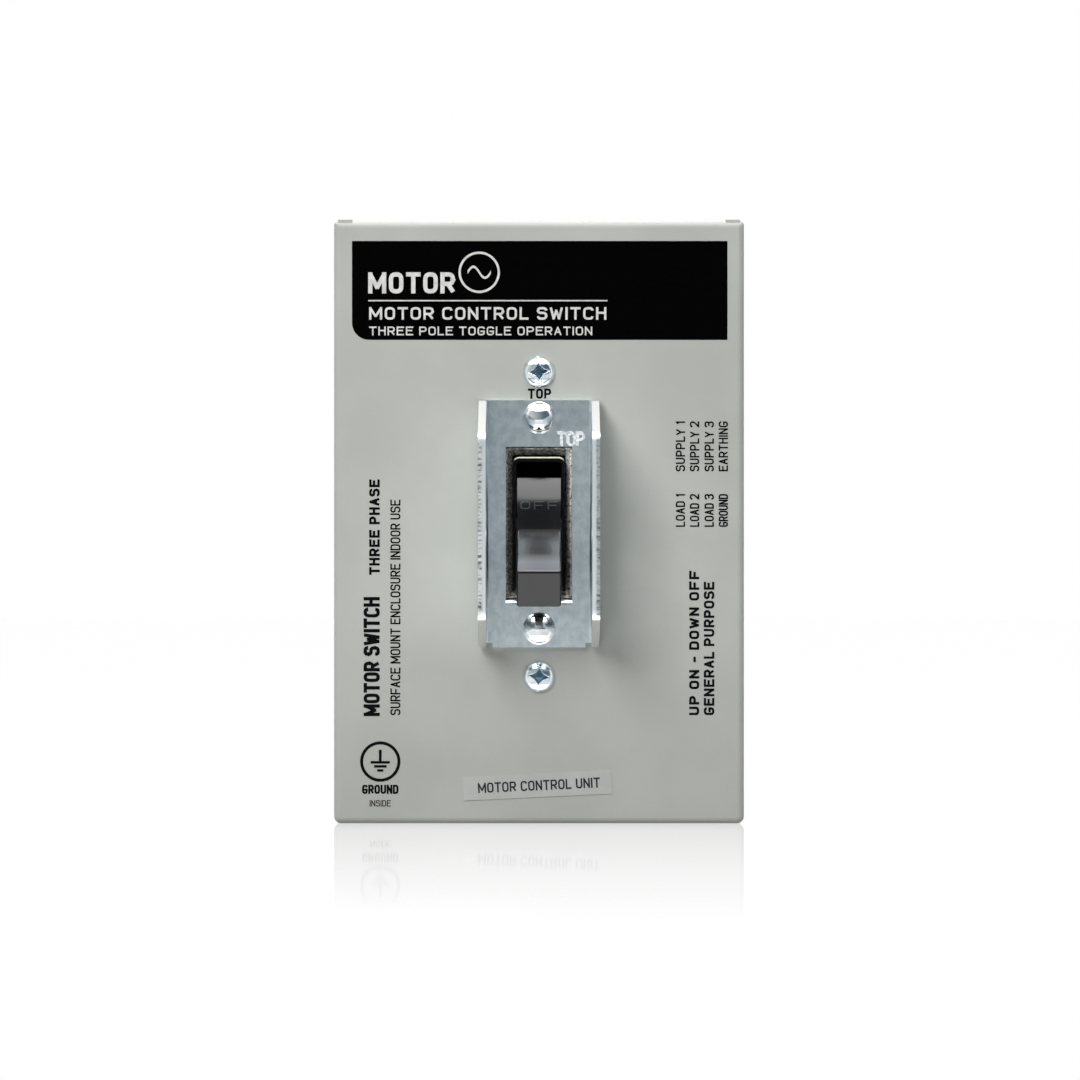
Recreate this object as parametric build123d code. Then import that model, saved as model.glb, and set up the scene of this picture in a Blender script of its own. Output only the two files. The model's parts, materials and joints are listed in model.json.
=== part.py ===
from build123d import *

import math
import os

# Manual three-pole motor starting switch in a folded steel enclosure.
# Millimetres. +Z is up, the cover faces -Y, and the origin is the centre of
# the back wall's outer face, which lies against the wall it is mounted on.

# ---- driving dimensions ----
COVER_WIDTH = 81.3
COVER_HEIGHT = 119.4
DEPTH = 66.0                 # back face to cover face
SHEET = 1.5                  # 16 gauge steel
COVER_FLANGE = 16.0          # depth of the cover's folded edge
COVER_GAP = 0.25             # between the cover's flange and the box
BEND_RADIUS = 1.6

DEVICE_Z = -0.35             # height of the switch's centre
PLATE_SCREW_SPACING = 60.33  # standard device plate screws
STRAP_SCREW_SPACING = 83.3   # standard device box screws
SCREW_RADIUS = 1.7           # 6-32 thread drawn as a plain shank

GUARD_Z = -0.3
GUARD_LENGTH = 48.9
GUARD_WIDTH = 23.8
GUARD_HEIGHT = 22.0          # cover face to the walls' front edge
GUARD_TOP_RUN = 7.0          # how far the top ends slope
GUARD_BOTTOM_RUN = 5.8
GUARD_SLOT = (13.1, 30.1)
GUARD_SLOT_Z = -0.1
RIVET_Z = -0.16
RIVET_SPACING = 41.7
PADLOCK_RADIUS = 3.6

STRAP_THICK = 1.3
STRAP_BEHIND_COVER = 1.5
STRAP_LENGTH = 106.0
BODY_WIDTH = 48.0
BODY_HEIGHT = 66.0
FACE_DEPTH = 15.2            # switch_face, strap to parting plane
BASE_DEPTH = 20.5
BEZEL = (10.2, 26.6)
BEZEL_WALL = 0.65
BEZEL_PROUD = 1.0            # in front of the guard's web

THROW = 29.0                 # toggle angle each side of straight out
HUB_RADIUS = 12.6
HUB_SPREAD = 75.6            # the hub's sector, each side of the lever
HUB_WIDTH = 8.6
LEVER_REACH = 26.5           # pivot to the lever's end face
LEVER_THICK = 8.0            # at the end face
LEVER_ROOT = (6.0, 11.2)     # distance from the pivot, and thickness there
PIN_RADIUS = 1.25
TONGUE_REACH = 6.3           # pivot to the centre of the tongue's round tip
TONGUE_TIP = 1.5
RUN_GAP = 0.15

POLE_PITCH = 13.4
CHAMBER_WIDTH = 12.4
CHAMBER_HALF_HEIGHT = 11.0

# ---- planes and heights that follow from them ----
COVER_FACE = -DEPTH
COVER_BACK = COVER_FACE + SHEET
WEB_FACE = COVER_FACE - SHEET
STRAP_FRONT = COVER_BACK + STRAP_BEHIND_COVER
STRAP_BACK = STRAP_FRONT + STRAP_THICK
PARTING = STRAP_BACK + FACE_DEPTH
BASE_BACK = PARTING + BASE_DEPTH
BEZEL_FACE = WEB_FACE - BEZEL_PROUD
BOX_HALF_X = COVER_WIDTH / 2 - SHEET - COVER_GAP
BOX_HALF_Z = COVER_HEIGHT / 2 - SHEET - COVER_GAP

PIVOT_Y = STRAP_BACK + 1.9
TRAVEL = 2 * TONGUE_REACH * math.sin(math.radians(THROW))
CARRIAGE_Z = DEVICE_Z + TRAVEL / 2      # carriage is up while the toggle is down
CROSSBAR_HALF = 4.0
CROSSBAR_HALF_X = 19.0
CROSSBAR_FRONT = PIVOT_Y + TONGUE_REACH + TONGUE_TIP + 0.6
CROSSBAR_BACK = PARTING - 0.4
CAVITY_HALF_X = CROSSBAR_HALF_X + 1.2
CAVITY_HALF_Z = CROSSBAR_HALF + TRAVEL / 2 + 0.35

BRIDGE_THICK = 1.2
BUTTON_RADIUS = 1.6
BUTTON_THICK = 0.8
BUTTON_X = 4.0
CONTACT_Y = PARTING + 6.2
CHAMBER_FLOOR = PARTING + 12.5
SEAT = -1.6                  # bridge's seat in the finger, from the carriage's centre
SHELF_TOP = DEVICE_Z - TRAVEL / 2 + SEAT - 2 * BUTTON_THICK - 0.05
STRIP_THICK = 1.2
STRIP_X = (2.3, 5.7)
ALCOVE_Z = 29.5              # terminal seat, from the switch's centre
TERMINAL_Y = PARTING + 6.5

POLES = (-POLE_PITCH, 0.0, POLE_PITCH)
ENDS = (-1, 1)


# ---- sizes used by one or two pieces ----
WALL_HOLES = (50.8, 82.6)
WALL_HOLE_RADIUS = 2.4
KNOCKOUT_RADII = (11.1, 14.1)
KNOCKOUT_LINE = 0.5
KNOCKOUT_DEEP = 0.5
KNOCKOUT_Y = -30.0
SIDE_KNOCKOUT_Z = -32.0
GROUND_X = 24.0
GROUND_Z = -26.0
TAB_WIDTH = 3.6
TAB_PROUD = 0.3
EAR_HALF = 10.0
EAR_DEPTH = 15.0
LABEL_SIZE = (29.4, 4.7)
LABEL_THICK = 0.15
LABEL_X = -0.3
LABEL_Z = -52.1
LABEL_TILT = 2.7
PADLOCK_Y = COVER_FACE - 13.0
RIVET_SHANK = 1.55
RIVET_HEAD = 3.17
COVER_HEAD = 3.22
STRAP_RIVET = (12.0, 22.0)
STRAP_WIDTH = 34.0
STRAP_END_WIDTH = 19.0
BODY_SCREW = (21.9, 24.0)
BODY_SCREW_RADIUS = 1.3
PIN_HALF = 8.0
LEVER_WIDTH = 8.7
LEVER_EDGE = 0.5
SLOT_ROLL = 1.2              # the punch's rolled edge at the bottom of the guard's slot
PRONG_FRONT = PIVOT_Y + 4.8
WINDOW_HIGH = 4.2
BRIDGE_HALF = 5.7
TERMINAL_SCREW = 1.6
CLAMP_THICK = 1.0
DETENT_BORE = 1.6
DETENT_BALL = 1.5
DETENT_DEEP = 7.0


# ---- small shapes used everywhere ----
def block(x, y, z):
    """Box between a low and a high value along each axis."""
    size = [high - low for low, high in (x, y, z)]
    middle = [(high + low) / 2 for low, high in (x, y, z)]
    return Pos(*middle) * Box(*size)


def rod_x(radius, x, y, z):
    """Cylinder along X between two X values."""
    return Pos((x[0] + x[1]) / 2, y, z) * Rot(0, 90, 0) * Cylinder(radius, x[1] - x[0])


def rod_y(radius, x, y, z):
    """Cylinder along Y between two Y values."""
    return Pos(x, (y[0] + y[1]) / 2, z) * Rot(90, 0, 0) * Cylinder(radius, y[1] - y[0])


def rod_z(radius, x, y, z):
    """Cylinder along Z between two Z values."""
    return Pos(x, y, (z[0] + z[1]) / 2) * Cylinder(radius, z[1] - z[0])


def dome(radius, height, seat):
    """Low round head on the plane y = seat, bulging towards -Y, on the Y axis."""
    ball = (radius ** 2 + height ** 2) / (2 * height)
    cap = Pos(0, seat - height + ball, 0) * Sphere(ball)
    return cap & rod_y(radius, 0, (seat - height - 1, seat), 0)


def rounded_y(width, height, corner, y, z):
    """Rounded rectangle about x = 0, extruded along Y."""
    shape = Plane.XZ * RectangleRounded(width, height, corner)
    return Pos(0, y[1], z) * extrude(shape, y[1] - y[0])


def coil(radius, wire, length, turns):
    """Compression spring along Z from z = 0, ends included."""
    rise = length - wire
    path = Pos(0, 0, wire / 2) * Helix(rise / turns, rise, radius - wire / 2)
    start = path @ 0
    return sweep(Plane(start, z_dir=path % 0) * Circle(wire / 2), path, is_frenet=True)


# ---- enclosure ----
def ring_groove(axis_solid, radius, width):
    """Hollow cylinder made from a rod function, for a knockout's sheared line."""
    return axis_solid(radius) - axis_solid(radius - width)


def make_back_box():
    """Five-sided folded box with knockouts, wall holes and seam lines at its corners."""
    front = COVER_BACK + 0.1
    outer = block((-BOX_HALF_X, BOX_HALF_X), (front, 0), (-BOX_HALF_Z, BOX_HALF_Z))
    outer = fillet(outer.faces().sort_by(Axis.Y)[-1].edges(), BEND_RADIUS)
    inner_x = BOX_HALF_X - SHEET
    inner_z = BOX_HALF_Z - SHEET
    box = outer - block((-inner_x, inner_x), (front - 1, -SHEET), (-inner_z, inner_z))
    for x in (-WALL_HOLES[0] / 2, WALL_HOLES[0] / 2):
        for z in (-WALL_HOLES[1] / 2, WALL_HOLES[1] / 2):
            box -= rod_y(WALL_HOLE_RADIUS, x, (-SHEET - 1, 1), z)
    box -= rod_y(SCREW_RADIUS, GROUND_X, (-SHEET - 1, 1), GROUND_Z)
    for radius in KNOCKOUT_RADII:
        for z in (-BOX_HALF_Z, BOX_HALF_Z):
            span = (z - KNOCKOUT_DEEP, z + KNOCKOUT_DEEP)
            box -= ring_groove(lambda r: rod_z(r, 0, KNOCKOUT_Y, span), radius, KNOCKOUT_LINE)
    for x in (-BOX_HALF_X, BOX_HALF_X):
        span = (x - KNOCKOUT_DEEP, x + KNOCKOUT_DEEP)
        box -= ring_groove(
            lambda r: rod_x(r, span, KNOCKOUT_Y, SIDE_KNOCKOUT_Z), KNOCKOUT_RADII[0], KNOCKOUT_LINE)
    span = (-KNOCKOUT_DEEP, KNOCKOUT_DEEP)
    box -= ring_groove(lambda r: rod_y(r, 0, span, 0), KNOCKOUT_RADII[0], KNOCKOUT_LINE)
    for x in ENDS:
        for z in ENDS:
            seam_x = x * (BOX_HALF_X - SHEET)
            seam_z = z * BOX_HALF_Z
            box -= block((seam_x - 0.15, seam_x + 0.15), (front - 1, -BEND_RADIUS),
                         (seam_z - 0.3, seam_z + 0.3))
    return box


def make_cover():
    """Painted pan that slides over the box, with small lapped tabs at its corners."""
    half_x = COVER_WIDTH / 2
    half_z = COVER_HEIGHT / 2
    back = COVER_FACE + COVER_FLANGE
    pan = block((-half_x, half_x), (COVER_FACE, back), (-half_z, half_z))
    corners = pan.edges().filter_by(Axis.Y)
    pan = fillet(corners.sort_by(Axis.Z)[:2], 1.4)
    pan = fillet(pan.edges().filter_by(Axis.Y).sort_by(Axis.Z)[-2:], 0.8)
    pan = fillet(pan.faces().sort_by(Axis.Y)[0].edges(), 1.35)
    for x in ENDS:
        tab_x = sorted((x * (half_x - TAB_WIDTH), x * (half_x - 0.8)))
        tab = block(tab_x, (COVER_FACE + 0.5, back), (half_z - 1, half_z + TAB_PROUD))
        pan += fillet(tab.edges().filter_by(Axis.X).sort_by(Axis.Y)[:1], 0.3)
    inner_x = half_x - SHEET
    inner_z = half_z - SHEET
    pan -= block((-inner_x, inner_x), (COVER_BACK, back + 1), (-inner_z, inner_z))
    width, height = GUARD_SLOT
    pan -= rounded_y(width + 1.0, height + 1.2, 0.8, (COVER_FACE - 1, COVER_BACK + 1), GUARD_SLOT_Z)
    for end in ENDS:
        screw_z = DEVICE_Z + end * PLATE_SCREW_SPACING / 2
        rivet_z = RIVET_Z + end * RIVET_SPACING / 2
        pan -= rod_y(2.0, 0, (COVER_FACE - 1, COVER_BACK + 1), screw_z)
        pan -= rod_y(RIVET_SHANK, 0, (COVER_FACE - 1, COVER_BACK + 1), rivet_z)
    return pan


def make_device_ear(end):
    """Bent bracket spot-welded inside the box's top (end = 1) or bottom wall (end = -1)."""
    wall = end * (BOX_HALF_Z - SHEET)
    lip = DEVICE_Z + end * (BODY_HEIGHT / 2 + 3.5)
    face = block((-EAR_HALF, EAR_HALF), (STRAP_BACK, STRAP_BACK + SHEET), sorted((lip, wall)))
    foot = block((-EAR_HALF, EAR_HALF), (STRAP_BACK, STRAP_BACK + EAR_DEPTH),
                 sorted((wall, wall - end * SHEET)))
    screw_z = DEVICE_Z + end * STRAP_SCREW_SPACING / 2
    hole = rod_y(SCREW_RADIUS, 0, (STRAP_BACK - 1, STRAP_BACK + SHEET + 1), screw_z)
    return face + foot - hole


def make_ground_screw():
    """Slotted hexagon-head earthing screw in the back wall."""
    head = Pos(0, -SHEET, 0) * extrude(Plane.XZ * RegularPolygon(4.2, 6), 2.6)
    flange = rod_y(4.8, 0, (-SHEET - 0.8, -SHEET), 0)
    shank = rod_y(SCREW_RADIUS, 0, (-SHEET - 0.5, -0.1), 0)
    slot = block((-5, 5), (-SHEET - 4, -SHEET - 1.8), (-0.5, 0.5))
    return Pos(GROUND_X, 0, GROUND_Z) * (head + flange + shank - slot)


def make_rating_label():
    """Thin sticker near the cover's bottom, stuck on slightly askew."""
    width, height = LABEL_SIZE
    plate = block((-width / 2, width / 2), (-LABEL_THICK, 0), (-height / 2, height / 2))
    return Pos(LABEL_X, COVER_FACE, LABEL_Z) * Rot(0, -LABEL_TILT, 0) * plate


# ---- guard ----
def make_lockout_guard():
    """Channel riveted to the cover: a slotted web and two walls a padlock can cross."""
    half = GUARD_WIDTH / 2
    low = GUARD_Z - GUARD_LENGTH / 2
    high = GUARD_Z + GUARD_LENGTH / 2
    rim = COVER_FACE - GUARD_HEIGHT
    channel = block((-half, half), (rim, COVER_FACE), (low, high))
    channel = fillet(channel.edges().filter_by(Axis.Z).sort_by(Axis.Y)[-2:], 1.9)
    inner = block((-half + SHEET, half - SHEET), (rim - 1, WEB_FACE), (low - 1, high + 1))
    inner = fillet(inner.edges().filter_by(Axis.Z).sort_by(Axis.Y)[-2:], 0.5)
    channel -= inner
    side = Polyline(
        (COVER_FACE + 1, low), (WEB_FACE - 0.4, low),
        (rim, low + GUARD_BOTTOM_RUN), (rim, high - GUARD_TOP_RUN),
        (WEB_FACE - 0.4, high), (COVER_FACE + 1, high), close=True)
    outline = make_face(Plane.YZ * side)
    rim_corners = outline.vertices().sort_by(Axis.Y)[:2]
    outline = fillet(rim_corners, 2.0)
    channel &= Pos(-half - 1, 0, 0) * extrude(outline, GUARD_WIDTH + 2, dir=(1, 0, 0))
    width, height = GUARD_SLOT
    channel -= block((-width / 2, width / 2), (WEB_FACE - 1, COVER_FACE + 1),
                     (GUARD_SLOT_Z - height / 2, GUARD_SLOT_Z + height / 2))
    front_edges = channel.edges().filter_by(Axis.X).filter_by_position(
        Axis.Y, WEB_FACE - 0.01, WEB_FACE + 0.01)
    slot_edges = front_edges.filter_by_position(Axis.Z, low + 2, high - 2).sort_by(Axis.Z)
    channel = fillet(slot_edges[:1], SLOT_ROLL)
    for end in ENDS:
        rivet_z = RIVET_Z + end * RIVET_SPACING / 2
        channel -= rod_y(RIVET_SHANK, 0, (WEB_FACE - 1, COVER_FACE + 1), rivet_z)
        relief = sorted((end * (half - SHEET - 1.2), end * (half - SHEET + 0.1)))
        channel -= block(relief, (WEB_FACE - 1.5, COVER_FACE + 1), (low - 1, low + 0.9))
    channel -= rod_x(PADLOCK_RADIUS, (-half - 1, half + 1), PADLOCK_Y, DEVICE_Z)
    return channel


def make_guard_rivets():
    """Two domed rivets through the guard's web and the cover, with upset tails behind."""
    rivet = dome(RIVET_HEAD, 1.9, WEB_FACE)
    rivet += rod_y(RIVET_SHANK, 0, (WEB_FACE - 0.2, COVER_BACK), 0)
    rivet += rod_y(2.3, 0, (COVER_BACK, COVER_BACK + 1.0), 0)
    return [Pos(0, 0, RIVET_Z + end * RIVET_SPACING / 2) * rivet for end in ENDS]


# ---- screws and rivets along Y ----
def combination_recess(seat, height):
    """Cross recess with a slot across it, cut into a head of the given height."""
    arms = block((-1.9, 1.9), (seat - height - 1, seat - height + 1.5), (-0.45, 0.45))
    cross = arms + Rot(0, 90, 0) * arms
    return cross + rod_y(0.9, 0, (seat - height - 1, seat - height + 1.7), 0)


def make_cover_screws():
    """Two domed plate screws through the cover into the strap."""
    height = 2.1
    screw = dome(COVER_HEAD, height, COVER_FACE)
    screw += rod_y(SCREW_RADIUS, 0, (COVER_FACE - 0.2, STRAP_BACK + 6), 0)
    screw -= combination_recess(COVER_FACE, height)
    return [Pos(0, 0, DEVICE_Z + end * PLATE_SCREW_SPACING / 2) * screw for end in ENDS]


def make_strap_screws():
    """Two low-head screws through the strap's slots into the box's ears."""
    height = 1.3
    screw = dome(3.1, height, STRAP_FRONT)
    screw += rod_y(SCREW_RADIUS, 0, (STRAP_FRONT - 0.2, STRAP_BACK + 9), 0)
    screw -= block((-4, 4), (STRAP_FRONT - height - 1, STRAP_FRONT - height + 0.7), (-0.4, 0.4))
    return [Pos(0, 0, DEVICE_Z + end * STRAP_SCREW_SPACING / 2) * screw for end in ENDS]


def make_strap_rivets():
    """Four rivets that hold the strap to the moulded face."""
    rivet = dome(2.2, 1.0, STRAP_FRONT)
    rivet += rod_y(1.2, 0, (STRAP_FRONT - 0.2, STRAP_BACK + 4.5), 0)
    return [Pos(x * STRAP_RIVET[0], 0, DEVICE_Z + z * STRAP_RIVET[1]) * rivet
            for x in ENDS for z in ENDS]


def make_body_screws():
    """Four long screws from the back that clamp base and face together."""
    head = rod_y(2.3, 0, (BASE_BACK, BASE_BACK + 1.6), 0)
    shank = rod_y(BODY_SCREW_RADIUS, 0, (STRAP_BACK + 5.0, BASE_BACK + 0.2), 0)
    slot = block((-3, 3), (BASE_BACK + 1.0, BASE_BACK + 3), (-0.35, 0.35))
    screw = head + shank - slot
    return [Pos(x * BODY_SCREW[0], 0, DEVICE_Z + z * BODY_SCREW[1]) * screw
            for x in ENDS for z in ENDS]


# ---- switch body ----
def make_mounting_strap():
    """Plated steel strap with a window for the bezel, tapped holes and end slots."""
    half = STRAP_LENGTH / 2
    span = (STRAP_FRONT, STRAP_BACK)
    strap = rounded_y(STRAP_END_WIDTH, STRAP_LENGTH, 3.0, span, DEVICE_Z)
    strap += rounded_y(STRAP_WIDTH, BODY_HEIGHT - 6, 2.0, span, DEVICE_Z)
    cut = (STRAP_FRONT - 1, STRAP_BACK + 1)
    strap -= rounded_y(BEZEL[0] + 1.0, BEZEL[1] + 1.0, 1.0, cut, DEVICE_Z)
    for end in ENDS:
        strap -= rod_y(SCREW_RADIUS + 0.05, 0, cut, DEVICE_Z + end * PLATE_SCREW_SPACING / 2)
        strap -= slot_x_hole(DEVICE_Z + end * STRAP_SCREW_SPACING / 2, cut)
        for x in ENDS:
            strap -= rod_y(1.2, x * STRAP_RIVET[0], cut, DEVICE_Z + end * STRAP_RIVET[1])
            notch_z = DEVICE_Z + end * (half - 3.2)
            notch_x = sorted((x * 5.6, x * (STRAP_END_WIDTH / 2 + 1)))
            strap -= block(notch_x, cut, (notch_z - 0.5, notch_z + 0.5))
    return strap


def slot_x_hole(z, cut):
    """Cross-wise slot for a box screw."""
    shape = Plane.XZ * SlotOverall(7.0, 2 * SCREW_RADIUS + 0.5)
    return Pos(0, cut[1], z) * extrude(shape, cut[1] - cut[0])


def make_switch_face():
    """Moulded front housing: bezel collar, hub well, pin bores and the carriage's cavity."""
    half_x = BODY_WIDTH / 2
    half_z = BODY_HEIGHT / 2
    body = block((-half_x, half_x), (STRAP_BACK, PARTING), (DEVICE_Z - half_z, DEVICE_Z + half_z))
    body = fillet(body.edges().filter_by(Axis.Y), 2.0)
    collar = rounded_y(BEZEL[0], BEZEL[1], 1.2, (BEZEL_FACE, STRAP_BACK + 1), DEVICE_Z)
    collar = fillet(collar.faces().sort_by(Axis.Y)[0].edges(), 0.45)
    body += collar
    open_x = BEZEL[0] / 2 - BEZEL_WALL
    open_z = BEZEL[1] / 2 - 1.0
    body -= rounded_y(2 * open_x, 2 * open_z, 0.6, (BEZEL_FACE - 1, PIVOT_Y), DEVICE_Z)
    body -= rod_x(HUB_RADIUS + 0.4, (-open_x, open_x), PIVOT_Y, DEVICE_Z)
    body -= block((-CAVITY_HALF_X, CAVITY_HALF_X), (PRONG_FRONT - 0.6, PARTING + 1),
                  (DEVICE_Z - CAVITY_HALF_Z, DEVICE_Z + CAVITY_HALF_Z))
    body -= rod_x(PIN_RADIUS, (-PIN_HALF, PIN_HALF), PIVOT_Y, DEVICE_Z)
    for end in ENDS:
        plate_z = DEVICE_Z + end * PLATE_SCREW_SPACING / 2
        body -= rod_y(SCREW_RADIUS + 0.6, 0, (STRAP_BACK - 1, STRAP_BACK + 8), plate_z)
        for x in ENDS:
            body -= rod_y(1.2, x * STRAP_RIVET[0], (STRAP_BACK - 1, STRAP_BACK + 4.5),
                          DEVICE_Z + end * STRAP_RIVET[1])
            body -= rod_y(BODY_SCREW_RADIUS, x * BODY_SCREW[0], (STRAP_BACK + 5.0, PARTING + 1),
                          DEVICE_Z + end * BODY_SCREW[1])
    return body


def make_switch_base():
    """Moulded rear housing: three contact chambers and a row of terminal alcoves at each end."""
    half_x = BODY_WIDTH / 2
    half_z = BODY_HEIGHT / 2
    body = block((-half_x, half_x), (PARTING, BASE_BACK), (DEVICE_Z - half_z, DEVICE_Z + half_z))
    body = fillet(body.edges().filter_by(Axis.Y), 2.0)
    body = fillet(body.faces().sort_by(Axis.Y)[-1].edges(), 0.8)
    for x in POLES:
        body -= block((x - CHAMBER_WIDTH / 2, x + CHAMBER_WIDTH / 2), (PARTING - 1, CHAMBER_FLOOR),
                      (DEVICE_Z - CHAMBER_HALF_HEIGHT, DEVICE_Z + CHAMBER_HALF_HEIGHT))
        for end in ENDS:
            alcove = sorted((DEVICE_Z + end * ALCOVE_Z, DEVICE_Z + end * (half_z + 1)))
            body -= block((x - 5.8, x + 5.8), (PARTING - 1, CHAMBER_FLOOR + 4), alcove)
            slot = sorted((DEVICE_Z, DEVICE_Z + end * (ALCOVE_Z + 0.1)))
            body -= block(strip_span(x, end), (PARTING - 1, CHAMBER_FLOOR), slot)
            bore = sorted((DEVICE_Z + end * (ALCOVE_Z - 8), DEVICE_Z + end * (ALCOVE_Z + 1)))
            body -= rod_z(TERMINAL_SCREW + 0.3, x, TERMINAL_Y, bore)
    for x in ENDS:
        for z in ENDS:
            body -= rod_y(BODY_SCREW_RADIUS, x * BODY_SCREW[0], (PARTING - 1, BASE_BACK + 1),
                          DEVICE_Z + z * BODY_SCREW[1])
    return body


# ---- toggle ----
def lever_plane():
    """Plane across the pivot: x runs out along the lever at rest, y to its upper side."""
    cosine = math.cos(math.radians(THROW))
    sine = math.sin(math.radians(THROW))
    return Plane((0, PIVOT_Y, DEVICE_Z), x_dir=(0, -cosine, -sine), z_dir=(-1, 0, 0))


def make_toggle_handle():
    """Moulded handle: hub, square-ended lever, and the tongue that drives the carriage."""
    plane = lever_plane()
    spread = math.radians(HUB_SPREAD)
    edge = (HUB_RADIUS * math.cos(spread), HUB_RADIUS * math.sin(spread))
    arc = ThreePointArc(edge, (HUB_RADIUS, 0), (edge[0], -edge[1]))
    sector = make_face([arc, Line((edge[0], -edge[1]), (0, 0)), Line((0, 0), edge)])
    hub = sector + Circle(3.2) + Pos(-TONGUE_REACH / 2, 0) * Rectangle(TONGUE_REACH, 1.8)
    hub += Pos(-TONGUE_REACH, 0) * Circle(TONGUE_TIP)
    handle = extrude(plane * hub, HUB_WIDTH / 2, both=True)
    tip = LEVER_THICK / 2
    root_x = LEVER_ROOT[0]
    root = LEVER_ROOT[1] / 2
    side = Polyline((root_x, -root), (LEVER_REACH, -tip), (LEVER_REACH, tip), (root_x, root), close=True)
    lever = extrude(plane * make_face(side), LEVER_WIDTH / 2, both=True)
    long_edges = lever.edges().filter_by(lambda edge: abs((edge % 0.5).dot(plane.x_dir)) > 0.9)
    far_end = lever.faces().sort_by(Axis.Y)[0]
    handle += fillet(long_edges + far_end.edges(), LEVER_EDGE)
    return handle - rod_x(PIN_RADIUS + 0.05, (-10, 10), PIVOT_Y, DEVICE_Z)


def make_toggle_pin():
    """Steel pin held in the face housing."""
    return rod_x(PIN_RADIUS, (-PIN_HALF, PIN_HALF), PIVOT_Y, DEVICE_Z)


# ---- contacts ----
def make_contact_carriage():
    """Sliding crossbar with two prongs for the toggle's tongue and a finger for each pole."""
    low = CARRIAGE_Z - CROSSBAR_HALF
    high = CARRIAGE_Z + CROSSBAR_HALF
    bar = block((-CROSSBAR_HALF_X, CROSSBAR_HALF_X), (CROSSBAR_FRONT, CROSSBAR_BACK), (low, high))
    gap = TONGUE_TIP + RUN_GAP
    for end in ENDS:
        prong = sorted((CARRIAGE_Z + end * gap, CARRIAGE_Z + end * (gap + 2.0)))
        bar += block((-3.8, 3.8), (PRONG_FRONT, CROSSBAR_FRONT + 0.1), prong)
        well = sorted((end * (CROSSBAR_HALF_X - DETENT_DEEP), end * (CROSSBAR_HALF_X + 1)))
        bar -= rod_x(DETENT_BORE, well, (CROSSBAR_FRONT + CROSSBAR_BACK) / 2, CARRIAGE_Z)
    for x in POLES:
        finger = block((x - 1.7, x + 1.7), (CROSSBAR_BACK - 0.1, CONTACT_Y + 4.1), (low, high))
        window = block((x - 3, x + 3), (CONTACT_Y - 3.0, CONTACT_Y + 3.0),
                       (CARRIAGE_Z + SEAT, CARRIAGE_Z + SEAT + WINDOW_HIGH))
        bar += finger - window
    return bar


def make_contact_bridge(x):
    """Copper bar that joins a pole's two fixed contacts."""
    seat = CARRIAGE_Z + SEAT
    bar = block((x - BRIDGE_HALF, x + BRIDGE_HALF), (CONTACT_Y - 2.7, CONTACT_Y + 2.7),
                (seat, seat + BRIDGE_THICK))
    return fillet(bar.edges().filter_by(Axis.Z), 0.8)


def make_contact_spring(x):
    """Coil spring that presses a bridge down in its finger."""
    length = WINDOW_HIGH - BRIDGE_THICK
    return Pos(x, CONTACT_Y, CARRIAGE_Z + SEAT + BRIDGE_THICK) * coil(1.45, 0.4, length, 3)


def make_moving_contact_rivets():
    """Silver buttons under the ends of the three bridges."""
    top = CARRIAGE_Z + SEAT
    return [rod_z(BUTTON_RADIUS, x + side * BUTTON_X, CONTACT_Y, (top - BUTTON_THICK, top))
            for x in POLES for side in ENDS]


def make_fixed_contact_rivets():
    """Silver buttons on the terminals' shelves."""
    return [rod_z(BUTTON_RADIUS, x + side * BUTTON_X, CONTACT_Y, (SHELF_TOP, SHELF_TOP + BUTTON_THICK))
            for x in POLES for side in ENDS]


def strip_span(x, end):
    """X span of a terminal's strip: line strips run on the left of a pole, load on the right."""
    near, far = STRIP_X
    return sorted((x - end * near, x - end * far))


def make_terminal(x, end):
    """Bent copper terminal: a plate for the wire, a strip and the fixed contact's shelf."""
    seat = DEVICE_Z + end * ALCOVE_Z
    plate = block((x - 5.5, x + 5.5), (PARTING + 0.6, CHAMBER_FLOOR),
                  sorted((seat, seat + end * STRIP_THICK)))
    plate -= rod_z(TERMINAL_SCREW, x, TERMINAL_Y, (seat - 3, seat + 3))
    span = strip_span(x, end)
    shelf_low = SHELF_TOP - STRIP_THICK
    reach = sorted((shelf_low if end > 0 else SHELF_TOP, seat + end * 0.1))
    strip = block(span, (CHAMBER_FLOOR - STRIP_THICK, CHAMBER_FLOOR), reach)
    shelf = block(span, (CONTACT_Y - 3.0, CHAMBER_FLOOR), (shelf_low, SHELF_TOP))
    return plate + strip + shelf


def make_terminal_screws(end):
    """Three binding screws, one in each pole's alcove."""
    seat = DEVICE_Z + end * (ALCOVE_Z + STRIP_THICK + CLAMP_THICK)
    top = seat + end * 2.4
    screws = []
    for x in POLES:
        screw = rod_z(3.6, x, TERMINAL_Y, sorted((seat, top)))
        screw += rod_z(TERMINAL_SCREW, x, TERMINAL_Y, sorted((seat - end * 9.0, seat + end * 0.1)))
        screw -= block((x - 4, x + 4), (TERMINAL_Y - 0.45, TERMINAL_Y + 0.45),
                       sorted((top - end * 1.2, top + end)))
        screws.append(screw)
    return screws


def make_wire_clamps(end):
    """Three square plates that the binding screws press on the wires."""
    seat = DEVICE_Z + end * (ALCOVE_Z + STRIP_THICK)
    clamps = []
    for x in POLES:
        plate = block((x - 4.4, x + 4.4), (TERMINAL_Y - 4.4, TERMINAL_Y + 4.4),
                      sorted((seat, seat + end * CLAMP_THICK)))
        clamps.append(plate - rod_z(TERMINAL_SCREW + 0.2, x, TERMINAL_Y, (seat - 3, seat + 3)))
    return clamps


def make_detent_ball(end):
    """Steel ball that rides on the cavity's side wall."""
    x = end * (CAVITY_HALF_X - 0.05 - DETENT_BALL)
    return Pos(x, (CROSSBAR_FRONT + CROSSBAR_BACK) / 2, CARRIAGE_Z) * Sphere(DETENT_BALL)


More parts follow.
